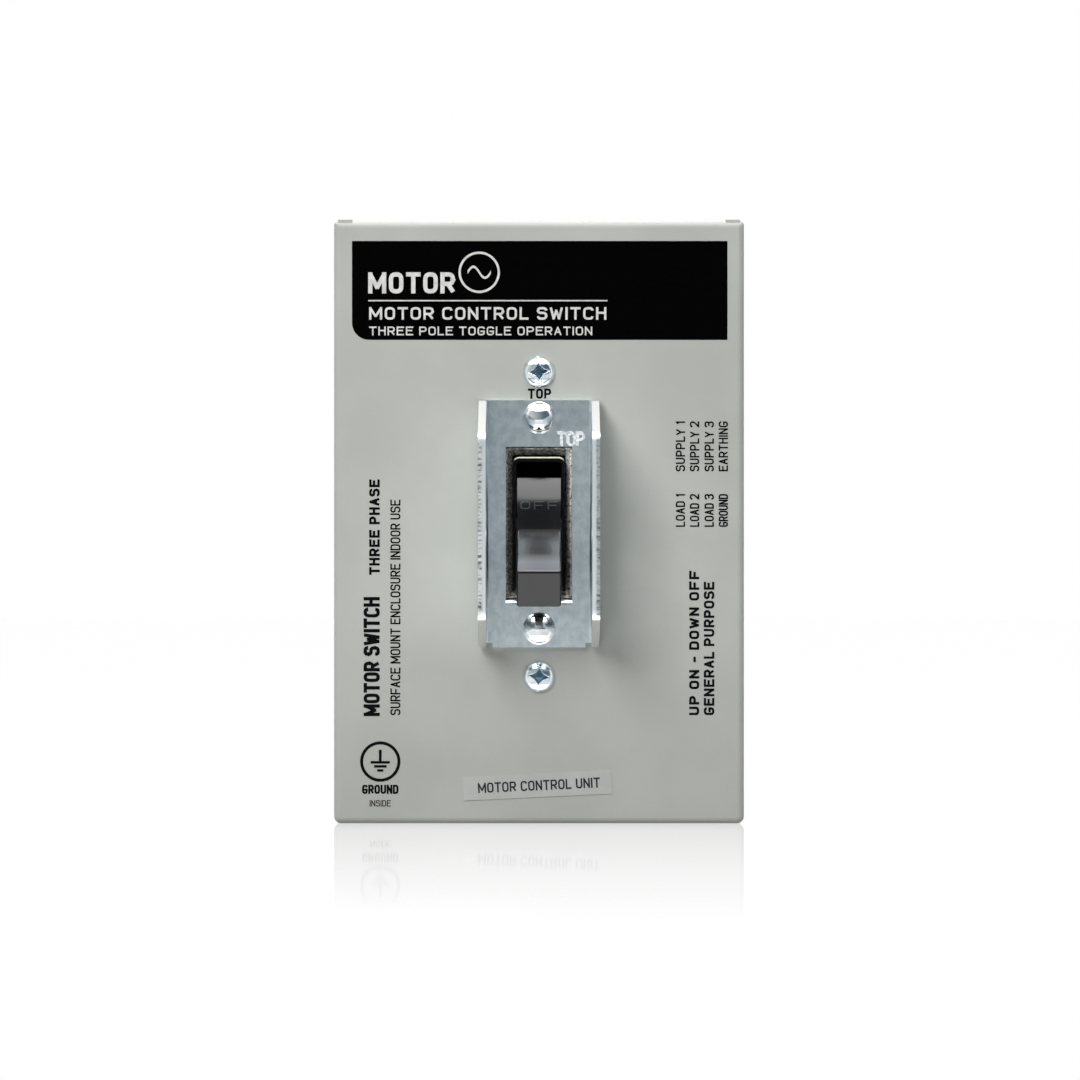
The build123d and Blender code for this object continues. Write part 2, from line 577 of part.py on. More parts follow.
def make_detent_spring(end):
    """Coil spring behind a detent ball."""
    start = end * (CROSSBAR_HALF_X - DETENT_DEEP)
    length = CAVITY_HALF_X - 0.05 - 2 * DETENT_BALL - (CROSSBAR_HALF_X - DETENT_DEEP)
    spring = coil(DETENT_BORE - 0.15, 0.4, length, 5)
    return Pos(start, (CROSSBAR_FRONT + CROSSBAR_BACK) / 2, CARRIAGE_Z) * Rot(0, 90 * end, 0) * spring


def save(name, shape):
    """Write one sub-part: a solid, or a list of separate solids."""
    if isinstance(shape, list):
        shape = Compound(children=shape)
    export_step(shape, f"parts/{name}.step")


os.makedirs("parts", exist_ok=True)

save("back_box", make_back_box())
save("cover", make_cover())
save("upper_device_ear", make_device_ear(1))
save("lower_device_ear", make_device_ear(-1))
save("ground_screw", make_ground_screw())
save("rating_label", make_rating_label())
save("lockout_guard", make_lockout_guard())
save("guard_rivets", make_guard_rivets())
save("cover_screws", make_cover_screws())
save("strap_screws", make_strap_screws())
save("strap_rivets", make_strap_rivets())
save("body_screws", make_body_screws())
save("mounting_strap", make_mounting_strap())
save("switch_face", make_switch_face())
save("switch_base", make_switch_base())
save("toggle_handle", make_toggle_handle())
save("toggle_pin", make_toggle_pin())
save("contact_carriage", make_contact_carriage())
save("moving_contact_rivets", make_moving_contact_rivets())
save("fixed_contact_rivets", make_fixed_contact_rivets())
for number, pole in enumerate(POLES, start=1):
    save(f"contact_bridge_{number}", make_contact_bridge(pole))
    save(f"contact_spring_{number}", make_contact_spring(pole))
    save(f"line_terminal_{number}", make_terminal(pole, 1))
    save(f"load_terminal_{number}", make_terminal(pole, -1))
for name, end in (("line", 1), ("load", -1)):
    save(f"{name}_terminal_screws", make_terminal_screws(end))
    save(f"{name}_wire_clamps", make_wire_clamps(end))
for name, end in (("left", -1), ("right", 1)):
    save(f"detent_ball_{name}", make_detent_ball(end))
    save(f"detent_spring_{name}", make_detent_spring(end))
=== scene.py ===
import json
import math
import random

import bmesh
import bpy
from mathutils import Matrix, Vector


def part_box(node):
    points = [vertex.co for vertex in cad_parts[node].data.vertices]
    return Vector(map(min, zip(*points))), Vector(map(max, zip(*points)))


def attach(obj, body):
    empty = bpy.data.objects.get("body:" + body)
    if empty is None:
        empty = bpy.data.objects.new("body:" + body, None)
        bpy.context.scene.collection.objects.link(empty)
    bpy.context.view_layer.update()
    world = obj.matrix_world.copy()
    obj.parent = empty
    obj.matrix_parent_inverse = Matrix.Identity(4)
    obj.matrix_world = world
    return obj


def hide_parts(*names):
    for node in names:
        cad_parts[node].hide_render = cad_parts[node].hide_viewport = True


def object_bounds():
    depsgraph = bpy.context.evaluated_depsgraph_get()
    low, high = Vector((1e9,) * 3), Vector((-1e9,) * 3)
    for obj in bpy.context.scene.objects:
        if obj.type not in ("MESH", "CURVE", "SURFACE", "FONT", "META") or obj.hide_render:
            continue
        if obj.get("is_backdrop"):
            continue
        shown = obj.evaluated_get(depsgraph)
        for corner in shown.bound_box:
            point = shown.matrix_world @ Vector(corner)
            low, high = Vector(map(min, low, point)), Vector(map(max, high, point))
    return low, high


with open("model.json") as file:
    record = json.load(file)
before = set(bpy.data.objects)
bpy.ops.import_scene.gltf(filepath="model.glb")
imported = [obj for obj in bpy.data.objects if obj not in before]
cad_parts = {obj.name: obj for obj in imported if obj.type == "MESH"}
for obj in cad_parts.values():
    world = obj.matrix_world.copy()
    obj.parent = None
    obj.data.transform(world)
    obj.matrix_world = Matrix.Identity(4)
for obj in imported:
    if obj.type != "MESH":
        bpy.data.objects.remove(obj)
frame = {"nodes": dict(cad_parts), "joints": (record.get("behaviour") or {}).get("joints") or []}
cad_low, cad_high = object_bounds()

MM = 0.001
nodes = frame["nodes"]

# ---------------------------------------------------------------------------
# Cover and back box: 16 gauge steel, folded and spot welded, then sprayed and
# baked with a light grey enamel. The cover is a shallow pan over the box.
# ---------------------------------------------------------------------------
box_low, box_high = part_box("cover")
COVER_FACE = box_low.y
COVER_LEFT = box_low.x
COVER_RIGHT = box_high.x
COVER_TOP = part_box("back_box")[1].z + 1.75 * MM
PAINT_COLOUR = (0.405, 0.414, 0.388, 1)


def add_node(tree, kind, settings=None, **inputs):
    """Shader node of a kind, with plain values or other nodes' sockets on its inputs."""
    made = tree.nodes.new("ShaderNode" + kind)
    for key, value in (settings or {}).items():
        setattr(made, key, value)
    for key, value in inputs.items():
        socket = made.inputs[key.replace("_", " ")]
        if isinstance(value, bpy.types.NodeSocket):
            tree.links.new(value, socket)
        else:
            socket.default_value = value
    return made


def start_material(name, **values):
    """New material with a Principled shader whose plain sockets are set here."""
    material = bpy.data.materials.new(name)
    material.use_nodes = True
    tree = material.node_tree
    shader = tree.nodes["Principled BSDF"]
    for key, value in values.items():
        shader.inputs[key.replace("_", " ")].default_value = value
    return material, tree, shader


def noise(tree, grain, detail=3.0, stretch=(1, 1, 1), rough=0.55):
    """Noise whose grain is the size of its lumps in metres, stretched along the frame's axes."""
    place = add_node(tree, "TexCoord").outputs["Object"]
    scaled = add_node(tree, "Mapping", Vector=place, Scale=stretch)
    made = add_node(tree, "TexNoise", Vector=scaled.outputs["Vector"],
                    Scale=1 / grain, Detail=detail, Roughness=rough)
    return made.outputs["Fac"]


def ramp(tree, value, stops):
    """Colour ramp with (position, colour) stops; a plain number is a grey."""
    made = add_node(tree, "ValToRGB", Fac=value)
    made.color_ramp.interpolation = "EASE"
    while len(made.color_ramp.elements) < len(stops):
        made.color_ramp.elements.new(0.5)
    for element, (position, colour) in zip(made.color_ramp.elements, stops):
        element.position = position
        element.color = colour if hasattr(colour, "__len__") else (colour, colour, colour, 1)
    return made.outputs["Color"]


def mix(tree, factor, first, second):
    """Colour mix of two colours or sockets."""
    made = add_node(tree, "Mix", {"data_type": "RGBA"})
    for index, value in ((0, factor), (6, first), (7, second)):
        if isinstance(value, bpy.types.NodeSocket):
            tree.links.new(value, made.inputs[index])
        else:
            made.inputs[index].default_value = value
    return made.outputs[2]


def rough_between(tree, shader, value, low, high):
    """Roughness that follows a noise between two limits."""
    spread = add_node(tree, "MapRange", Value=value, To_Min=low, To_Max=high)
    spread.inputs["From Min"].default_value = 0.3
    spread.inputs["From Max"].default_value = 0.7
    tree.links.new(spread.outputs["Result"], shader.inputs["Roughness"])


def bump(tree, shader, height, depth, strength=1.0, under=None):
    """Bump of a given depth in metres, over another bump if one is given."""
    made = add_node(tree, "Bump", Height=height, Strength=strength, Distance=depth)
    if under is not None:
        tree.links.new(under, made.inputs["Normal"])
    tree.links.new(made.outputs["Normal"], shader.inputs["Normal"])
    return made.outputs["Normal"]


def baked_enamel(name, colour):
    """Sprayed enamel: fine orange peel, faint cloudiness and a few specks of dust under it."""
    material, tree, shader = start_material(name, Specular_IOR_Level=0.3)
    clouds = noise(tree, 22 * MM, 3)
    darker = tuple(c * 0.955 for c in colour[:3]) + (1,)
    lighter = tuple(c * 1.035 for c in colour[:3]) + (1,)
    base = ramp(tree, clouds, [(0.32, darker), (0.68, lighter)])
    specks = ramp(tree, noise(tree, 0.5 * MM, 2), [(0.735, 0.0), (0.765, 1.0)])
    dust = tuple(c * 0.72 for c in colour[:3]) + (1,)
    tree.links.new(mix(tree, specks, base, dust), shader.inputs["Base Color"])
    peel = noise(tree, 0.9 * MM, 2)
    rough_between(tree, shader, clouds, 0.36, 0.47)
    bump(tree, shader, peel, 0.012 * MM, 0.6)
    return material


def dress(node, material):
    """Give a CAD node its finish."""
    mesh = nodes[node].data
    mesh.materials.clear()
    mesh.materials.append(material)


enamel = baked_enamel("enamel", PAINT_COLOUR)
for node in ("cover", "back_box", "upper_device_ear", "lower_device_ear"):
    dress(node, enamel)

# ---------------------------------------------------------------------------
# Header: a block of black ink screen printed on the cover, with one round
# corner. Its words, rule and sign are a second, pale layer of ink over it.
# ---------------------------------------------------------------------------
INK_THICK = 0.03 * MM
HEADER_LEFT = COVER_LEFT + 3.6 * MM
HEADER_RIGHT = COVER_RIGHT - 3.3 * MM
HEADER_TOP = COVER_TOP - 3.95 * MM
HEADER_BOTTOM = HEADER_TOP - 19.6 * MM
HEADER_CORNER = 3.4 * MM


def link(name, mesh, material, body):
    """Make an object from a mesh, give it its finish and let it ride on a body."""
    mesh.materials.clear()
    mesh.materials.append(material)
    made = bpy.data.objects.new(name, mesh)
    bpy.context.scene.collection.objects.link(made)
    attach(made, body)
    return made


def flat_sheet(name, outline, front, thick):
    """Closed thin plate: an (x, z) outline, its front face at y = front, thick towards +Y."""
    shape = bmesh.new()
    face = shape.faces.new([shape.verts.new((x, front, z)) for x, z in outline])
    side = bmesh.ops.extrude_face_region(shape, geom=[face])
    moved = [v for v in side["geom"] if isinstance(v, bmesh.types.BMVert)]
    bmesh.ops.translate(shape, verts=moved, vec=(0, thick, 0))
    bmesh.ops.recalc_face_normals(shape, faces=shape.faces)
    mesh = bpy.data.meshes.new(name)
    shape.to_mesh(mesh)
    shape.free()
    return mesh


def screen_ink(name, colour, rough):
    """Cured screen ink: thin, slightly uneven in gloss and density."""
    material, tree, shader = start_material(name, Specular_IOR_Level=0.02)
    grain = noise(tree, 1.2 * MM, 4)
    low = tuple(c * 0.85 for c in colour) + (1,)
    high = tuple(min(1.0, c * 1.1) for c in colour) + (1,)
    tree.links.new(ramp(tree, grain, [(0.3, low), (0.7, high)]), shader.inputs["Base Color"])
    rough_between(tree, shader, grain, rough - 0.05, rough + 0.08)
    bump(tree, shader, noise(tree, 0.35 * MM, 2), 0.004 * MM, 0.5)
    return material


black_ink = screen_ink("black_ink", (0.0002, 0.0002, 0.0002), 0.5)
pale_ink = screen_ink("pale_ink", (0.60, 0.60, 0.585), 0.45)

corner_steps = 12
header_outline = [(HEADER_LEFT, HEADER_TOP), (HEADER_RIGHT, HEADER_TOP), (HEADER_RIGHT, HEADER_BOTTOM)]
for step in range(corner_steps + 1):
    turn = math.radians(270 - 90 * step / corner_steps)
    header_outline.append((HEADER_LEFT + HEADER_CORNER * (1 + math.cos(turn)),
                           HEADER_BOTTOM + HEADER_CORNER * (1 + math.sin(turn))))
link("header_print", flat_sheet("header_print", header_outline, COVER_FACE - INK_THICK, INK_THICK),
     black_ink, "enclosure")


# Block letters of one even stroke, 9 units high and mostly 6 wide. Each group of digits is a
# stroke: its points are pairs, across then up, and a leading r rounds its corners.
LETTERS = {
    "A": "0039 3960 1353", "C": "r676909006062", "D": "0009 r09696000", "E": "69090060 0555",
    "F": "000969 0454", "G": "r676909006064 6434", "H": "0009 6069 0565", "I": "0009",
    "L": "090050", "M": "0009 0942 4289 8980", "N": "0009 0960 6069", "O": "r300009696030",
    "P": "0009 r09696404", "R": "0009 r09696404 3460", "S": "r6769090565600002",
    "T": "0969 3930", "U": "r09006069", "W": "0920 2047 4760 6089", "Y": "0934 6934 3430",
    "1": "0729 2920", "2": "r0709696500 0060", "3": "r0709696525 r2565600002", "-": "1444",
}


def round_corners(points, reach=2.7, steps=4):
    """Polyline with each inner corner replaced by a curve that starts a little before it."""
    last = len(points) - 2
    path = [points[0]]
    for index in range(1, len(points) - 1):
        corner = points[index]
        back = points[index - 1] - corner
        ahead = points[index + 1] - corner
        room_back = back.length * (1 if index == 1 else 0.5)
        room_ahead = ahead.length * (1 if index == last else 0.5)
        cut = min(reach, room_back, room_ahead)
        start = corner + back.normalized() * cut
        end = corner + ahead.normalized() * cut
        for step in range(steps + 1):
            t = step / steps
            path.append(start * (1 - t) ** 2 + corner * (2 * t * (1 - t)) + end * t ** 2)
    path.append(points[-1])
    return path


def lay_strokes(words, stroke, height):
    """Centre lines of a line of words, and the length they take at their natural spacing."""
    unit = (height - stroke) / 9
    pen = 0.0
    lines = []
    for letter in words:
        if letter == " ":
            pen += 0.40 * height
            continue
        wide = 0
        for text in LETTERS[letter].split():
            digits = [int(digit) for digit in text.lstrip("r")]
            points = [Vector((x, z)) for x, z in zip(digits[::2], digits[1::2])]
            wide = max(wide, *digits[::2])
            if text[0] == "r":
                points = round_corners(points)
            lines.append([Vector((pen + point.x * unit, point.y * unit)) for point in points])
        pen += wide * unit + stroke + 0.15 * height
    return lines, pen - stroke - 0.15 * height


def add_stroke(shape, line, stroke, place):
    """Closed bar along a centre line, with square ends; place turns (x, z, deep) into a point."""
    if (line[0] - line[-1]).length > stroke / 2:
        tips = []
        for tip, inward in ((line[0], line[1]), (line[-1], line[-2])):
            outward = (tip - inward).normalized()
            tips.append(tip + outward * stroke * (0.5 - 0.6 * min(abs(outward.x), abs(outward.y))))
        line = [tips[0]] + line[1:-1] + [tips[1]]
    rows = []
    for index, point in enumerate(line):
        before = (point - line[index - 1]).normalized() if index else (line[1] - point).normalized()
        after = (line[index + 1] - point).normalized() if index < len(line) - 1 else before
        side = Vector((-before.y - after.y, before.x + after.x)).normalized()
        reach = stroke / 2 / max(0.72, side.dot(Vector((-before.y, before.x))))
        left, right = point + side * reach, point - side * reach
        rows.append([shape.verts.new(place(*left, 0)), shape.verts.new(place(*right, 0)),
                     shape.verts.new(place(*right, 1)), shape.verts.new(place(*left, 1))])
    for near, far in zip(rows, rows[1:]):
        for corner in range(4):
            after = (corner + 1) % 4
            shape.faces.new((near[corner], near[after], far[after], far[corner]))
    shape.faces.new(rows[0])
    shape.faces.new(rows[-1])


def print_words(name, words, left, base, width, height, material, layer=1, turn=0, weight=0.15,
                front=None, body="enclosure"):
    """Words as a thin layer of ink: start of the baseline, total width and capital height, in metres.

    turn is the reading direction's angle above +X, and layer counts the inks under this one.
    """
    stroke = weight * height
    face = COVER_FACE if front is None else front
    lines, natural = lay_strokes(words, stroke, height)
    stretch = (width - stroke) / natural
    shape = bmesh.new()
    for index, line in enumerate(lines):
        step = 0.12 * (index % 4)

        def place(across, up, deep):
            across = across + stroke / 2
            up = up + stroke / 2
            return (left + across * math.cos(turn) - up * math.sin(turn),
                    face - (layer - deep + step * (1 - deep)) * INK_THICK,
                    base + across * math.sin(turn) + up * math.cos(turn))

        add_stroke(shape, [Vector((point.x * stretch, point.y)) for point in line], stroke, place)
    bmesh.ops.recalc_face_normals(shape, faces=shape.faces)
    mesh = bpy.data.meshes.new(name)
    shape.to_mesh(mesh)
    shape.free()
    return link(name, mesh, material, body)


WORDS_LEFT = HEADER_LEFT + 3.2 * MM
print_words("header_words_1", "MOTOR CONTROL SWITCH", WORDS_LEFT + 0.2 * MM, HEADER_TOP - 15.6 * MM,
            47.0 * MM, 2.5 * MM, pale_ink, layer=2, weight=0.18)
print_words("header_words_2", "THREE POLE TOGGLE OPERATION", WORDS_LEFT + 0.2 * MM,
            HEADER_TOP - 18.7 * MM, 44.2 * MM, 1.75 * MM, pale_ink, layer=2, weight=0.16)
print_words("header_title", "MOTOR", WORDS_LEFT, HEADER_TOP - 10.4 * MM,
            17.2 * MM, 4.2 * MM, pale_ink, layer=2, weight=0.20)
rule_top = HEADER_TOP - 11.7 * MM
rule_outline = [(WORDS_LEFT, rule_top), (WORDS_LEFT + 47.4 * MM, rule_top),
                (WORDS_LEFT + 47.4 * MM, rule_top - 0.25 * MM), (WORDS_LEFT, rule_top - 0.25 * MM)]
link("header_rule", flat_sheet("header_rule", rule_outline, COVER_FACE - 2 * INK_THICK, INK_THICK),
     pale_ink, "enclosure")


def ring_print(name, x, z, outer, inner, material, layer=1, steps=64):
    """Printed ring: a closed thin annulus on the cover's face."""
    shape = bmesh.new()
    loops = []
    for radius, depth in ((outer, 0), (inner, 0), (inner, 1), (outer, 1)):
        y = COVER_FACE - (layer - depth) * INK_THICK
        loops.append([shape.verts.new((x + radius * math.cos(2 * math.pi * s / steps), y,
                                       z + radius * math.sin(2 * math.pi * s / steps)))
                      for s in range(steps)])
    for index in range(4):
        near, far = loops[index], loops[(index + 1) % 4]
        for s in range(steps):
            shape.faces.new((near[s], near[(s + 1) % steps], far[(s + 1) % steps], far[s]))
    bmesh.ops.recalc_face_normals(shape, faces=shape.faces)
    mesh = bpy.data.meshes.new(name)
    shape.to_mesh(mesh)
    shape.free()
    return link(name, mesh, material, "enclosure")


# The plain drawing sign for a motor: a ring with an alternating-current wave in it.
SIGN_X = WORDS_LEFT + 22.0 * MM
SIGN_Z = HEADER_TOP - 6.2 * MM
SIGN_RADIUS = 4.1 * MM
ring_print("header_sign_ring", SIGN_X, SIGN_Z, SIGN_RADIUS, SIGN_RADIUS - 0.45 * MM, pale_ink, layer=2)
wave_steps = 28
wave_span = 4.6 * MM
wave_top = []
wave_under = []
for step in range(wave_steps + 1):
    share = step / wave_steps
    x = SIGN_X + (share - 0.5) * wave_span
    z = SIGN_Z + 1.1 * MM * math.sin(2 * math.pi * share)
    slope = math.cos(2 * math.pi * share)
    half = 0.24 * MM * math.sqrt(1 + slope * slope)
    wave_top.append((x, z + half))
    wave_under.append((x, z - half))
link("header_sign_wave", flat_sheet("header_sign_wave", wave_top + wave_under[::-1],
                                    COVER_FACE - 2 * INK_THICK, INK_THICK),
     pale_ink, "enclosure")

# ---------------------------------------------------------------------------
# Side printing: black words screen printed up both sides of the cover, a
# small table of circuit numbers, and the drawing sign for an earth point.
# ---------------------------------------------------------------------------
UP = math.radians(90)
side_ink = screen_ink("side_ink", (0.004, 0.004, 0.0045), 0.5)


def print_column(name, words, right, start, length, height, weight=0.13):
    """Words that read upwards: their baseline is at x = right and they start at z = start."""
    print_words(name, words, COVER_LEFT + right * MM, start * MM, length * MM, height * MM, side_ink,
                turn=UP, weight=weight)


print_column("side_words_title", "MOTOR SWITCH", 9.1, -38.4, 23.6, 3.2, 0.21)
print_column("side_words_phase", "THREE PHASE", 9.1, -10.4, 18.9, 2.1, 0.23)
print_column("side_words_type", "SURFACE MOUNT ENCLOSURE INDOOR USE", 13.2, -38.2, 42.7, 2.0, 0.15)
TABLE_RIGHTS = (69.6, 72.4, 75.3, 78.1)
TABLE_ROWS = (("SUPPLY 1", "LOAD 1"), ("SUPPLY 2", "LOAD 2"), ("SUPPLY 3", "LOAD 3"),
              ("EARTHING", "GROUND"))
for row, (right, (supply, load)) in enumerate(zip(TABLE_RIGHTS, TABLE_ROWS), start=1):
    print_column(f"table_supply_{row}", supply, right, 10.1, 9.9, 1.85, 0.165)
    print_column(f"table_load_{row}", load, right, -0.9, 6.5, 1.85, 0.165)
print_column("side_words_use", "UP ON - DOWN OFF", 72.4, -38.2, 28.6, 2.0, 0.24)
print_column("side_words_duty", "GENERAL PURPOSE", 75.4, -38.2, 26.4, 2.1, 0.22)
print_words("cover_word_top", "TOP", -2.2 * MM, 24.5 * MM, 4.6 * MM, 2.0 * MM, side_ink, weight=0.21)

EARTH_X = COVER_LEFT + 9.2 * MM
EARTH_Z = -47.4 * MM
ring_print("earth_sign_ring", EARTH_X, EARTH_Z, 4.0 * MM, 3.4 * MM, side_ink)
# Each bar of the sign: height above the ring's centre, half its width, half its height.
earth_bars = [(1.2, 0.28, 1.15), (-0.15, 1.9, 0.25), (-0.95, 1.25, 0.25), (-1.75, 0.6, 0.25)]
for number, (z, half_wide, half_high) in enumerate(earth_bars, start=1):
    left, right = EARTH_X - half_wide * MM, EARTH_X + half_wide * MM
    low, high = EARTH_Z + (z - half_high) * MM, EARTH_Z + (z + half_high) * MM
    bar = flat_sheet(f"earth_sign_bar_{number}", [(left, low), (right, low), (right, high), (left, high)],
                     COVER_FACE - INK_THICK, INK_THICK)
    link(f"earth_sign_bar_{number}", bar, side_ink, "enclosure")
print_words("earth_words", "GROUND", EARTH_X - 3.6 * MM, EARTH_Z - 6.4 * MM, 7.2 * MM, 1.8 * MM,
            side_ink, weight=0.22)
print_words("earth_words_small", "INSIDE", EARTH_X - 2.1 * MM, EARTH_Z - 8.9 * MM, 4.2 * MM, 1.25 * MM,
            side_ink, weight=0.14)

# ---------------------------------------------------------------------------
# Label: a plain satin film sticker, put on a little askew near the bottom of
# the cover, printed with generic words.
# ---------------------------------------------------------------------------
film, tree, shader = start_material("label_film", Roughness=0.38)
cloud = noise(tree, 6 * MM, 3)
tree.links.new(ramp(tree, cloud, [(0.3, (0.40, 0.41, 0.39, 1)), (0.7, (0.44, 0.45, 0.43, 1))]),
               shader.inputs["Base Color"])
rough_between(tree, shader, cloud, 0.33, 0.44)
bump(tree, shader, noise(tree, 2.5 * MM, 2), 0.02 * MM, 0.5)
dress("rating_label", film)
label_low, label_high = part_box("rating_label")
label_tilt = math.radians(2.7)
label_centre = (label_low + label_high) / 2
words_wide = 24.2 * MM
words_high = 2.0 * MM
across = Vector((math.cos(label_tilt), 0, math.sin(label_tilt)))
above = Vector((-math.sin(label_tilt), 0, math.cos(label_tilt)))
corner = label_centre - across * words_wide / 2 - above * words_high / 2
print_words("label_words", "MOTOR CONTROL UNIT", corner.x + 0.3 * MM, corner.z, words_wide, words_high,
            screen_ink("label_ink", (0.03, 0.03, 0.036), 0.5), turn=label_tilt, weight=0.16,
            front=label_low.y)

# ---------------------------------------------------------------------------
# Lockout guard: a channel sheared and folded from zinc-plated steel strip,
# riveted to the cover. Its cut edges are rough and streaked by the shear.
# ---------------------------------------------------------------------------
EDGE_CLEAN = 10.95 * MM     # from the middle: outside this, a wall's cut edge starts to tear
EDGE_TORN = 11.35 * MM
guard_low, guard_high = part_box("lockout_guard")
GUARD_RIM = guard_low.y
GUARD_MIDDLE = (guard_low.z + guard_high.z) / 2
WEB_FACE = COVER_FACE - 1.5 * MM


def between(tree, value, low, high):
    """0 where a number is at low or before it, 1 at high or past it."""
    made = add_node(tree, "MapRange", Value=value)
    made.inputs["From Min"].default_value = low
    made.inputs["From Max"].default_value = high
    return made.outputs["Result"]


def position_mask(tree, axis, low, high):
    """0 to 1 along an axis of the frame, between two places in metres."""
    place = add_node(tree, "TexCoord").outputs["Object"]
    return between(tree, add_node(tree, "SeparateXYZ", Vector=place).outputs[axis], low, high)


def facing_mask(tree, axis, low, high):
    """0 to 1 by how far the surface faces along an axis."""
    direction = add_node(tree, "NewGeometry").outputs["Normal"]
    return between(tree, add_node(tree, "SeparateXYZ", Vector=direction).outputs[axis], low, high)


def multiply(tree, first, second):
    """Product of two numbers."""
    made = add_node(tree, "Math", {"operation": "MULTIPLY"})
    for socket, value in zip(made.inputs, (first, second)):
        if isinstance(value, bpy.types.NodeSocket):
            tree.links.new(value, socket)
        else:
            socket.default_value = value
    return made.outputs[0]


zinc, tree, shader = start_material("zinc_plate", Metallic=1.0)
mottle = noise(tree, 1.5 * MM, 3, (1.0, 1.0, 0.8))
fine = noise(tree, 0.30 * MM, 3)
plate = ramp(tree, mottle, [(0.30, (0.61, 0.675, 0.705, 1)), (0.70, (0.76, 0.815, 0.835, 1))])
magnitude = add_node(tree, "Math", {"operation": "ABSOLUTE"})
place = add_node(tree, "TexCoord").outputs["Object"]
tree.links.new(add_node(tree, "SeparateXYZ", Vector=place).outputs["X"], magnitude.inputs[0])
outer = between(tree, magnitude.outputs[0], EDGE_CLEAN, EDGE_TORN)
cut = multiply(tree, facing_mask(tree, "Y", -0.80, -0.95),
               position_mask(tree, "Y", GUARD_RIM + 1.2 * MM, GUARD_RIM + 0.2 * MM))
torn = multiply(tree, cut, outer)
streaks = noise(tree, 0.60 * MM, 4, (0.30, 1.0, 1.0))
cut_edge_colour = ramp(tree, streaks, [(0.36, (0.20, 0.205, 0.205, 1)), (0.44, (0.60, 0.61, 0.61, 1)),
                               (0.56, (0.95, 0.96, 0.96, 1))])
# Painted shade: the cut edge of the right wall is mixed towards dark grey, because the light comes from the
# left.
right_edge_painted_shade = multiply(tree, position_mask(tree, "X", 0.0, 1 * MM), 0.45)
cut_edge_colour = mix(tree, right_edge_painted_shade, cut_edge_colour, (0.12, 0.13, 0.13, 1))
plate = mix(tree, cut, plate, (0.92, 0.94, 0.94, 1))
# Painted highlight: the sloped top and bottom ends of the walls are painted pale grey, and the upward ends
# are made less metallic, to stand for the overhead light.
upward = facing_mask(tree, "Z", 0.45, 0.75)
downward = facing_mask(tree, "Z", -0.45, -0.75)
slope = add_node(tree, "Math", {"operation": "ADD"})
tree.links.new(upward, slope.inputs[0])
tree.links.new(downward, slope.inputs[1])
ends = position_mask(tree, "Y", WEB_FACE - 0.6 * MM, WEB_FACE - 1.2 * MM)
slope = multiply(tree, slope.outputs[0], ends)
plate = mix(tree, slope, plate, (0.80, 0.80, 0.79, 1))
tree.links.new(mix(tree, torn, plate, cut_edge_colour), shader.inputs["Base Color"])
slope_highlight_metallic = add_node(tree, "MapRange", Value=multiply(tree, upward, ends), To_Min=1.0, To_Max=0.15)
tree.links.new(slope_highlight_metallic.outputs["Result"], shader.inputs["Metallic"])
satin = add_node(tree, "MapRange", Value=mottle, To_Min=0.29, To_Max=0.34)
satin.inputs["From Min"].default_value = 0.3
satin.inputs["From Max"].default_value = 0.7
rougher = add_node(tree, "Mix", {"data_type": "FLOAT"})
tree.links.new(cut, rougher.inputs[0])
tree.links.new(satin.outputs["Result"], rougher.inputs[2])
rougher.inputs[3].default_value = 0.4
tree.links.new(rougher.outputs[0], shader.inputs["Roughness"])
first = add_node(tree, "Bump", Height=fine, Strength=0.2, Distance=0.004 * MM)
bump(tree, shader, multiply(tree, streaks, torn), 0.10 * MM, 0.8, first.outputs["Normal"])
dress("lockout_guard", zinc)

# ---------------------------------------------------------------------------
# Guard rivets: solid steel rivets with smooth domed heads, polished bright by
# the set, and upset behind the cover.
# ---------------------------------------------------------------------------
polished, tree, shader = start_material("rivet_steel", Metallic=1.0)
shine = noise(tree, 1.6 * MM, 4)
tree.links.new(ramp(tree, shine, [(0.3, (0.84, 0.86, 0.88, 1)), (0.7, (0.93, 0.94, 0.95, 1))]),
               shader.inputs["Base Color"])
rough_between(tree, shader, shine, 0.05, 0.11)
bump(tree, shader, noise(tree, 0.8 * MM, 3), 0.006 * MM, 0.15)
dress("guard_rivets", polished)
dress("strap_rivets", polished)

# ---------------------------------------------------------------------------
# Cover screws: cold-headed zinc-plated screws with low domed heads. The punch
# leaves a cross recess with a slot over it, and a slightly ragged mouth.
# ---------------------------------------------------------------------------
plated, tree, shader = start_material("screw_zinc", Metallic=1.0)
tint = noise(tree, 1.0 * MM, 4)
shell = ramp(tree, tint, [(0.3, (0.66, 0.74, 0.79, 1)), (0.7, (0.86, 0.90, 0.92, 1))])
# Painted shade: the deep floor of the cross recess, within 2 mm of the screw's middle, is painted dark
# blue-grey.
recess_painted_shade = multiply(tree, position_mask(tree, "Y", COVER_FACE - 1.45 * MM, COVER_FACE - 1.25 * MM),
                   facing_mask(tree, "Y", -0.2, -0.5))
place = add_node(tree, "TexCoord").outputs["Object"]
fold = add_node(tree, "VectorMath", {"operation": "ABSOLUTE"}, Vector=place)
tree.links.new(place, fold.inputs[0])
middle = add_node(tree, "VectorMath", {"operation": "DISTANCE"})
tree.links.new(fold.outputs["Vector"], middle.inputs[0])
middle.inputs[1].default_value = (0, -COVER_FACE + 1 * MM, 30.17 * MM)
recess_painted_shade = multiply(tree, recess_painted_shade, between(tree, middle.outputs["Value"], 2.3 * MM, 2.0 * MM))
tree.links.new(mix(tree, recess_painted_shade, shell, (0.15, 0.25, 0.33, 1)), shader.inputs["Base Color"])
rough_between(tree, shader, tint, 0.10, 0.22)
bump(tree, shader, noise(tree, 0.45 * MM, 3), 0.006 * MM, 0.2)
HEAD_RADIUS = 3.22 * MM
HEAD_HIGH = 2.1 * MM
HEAD_RINGS = 72
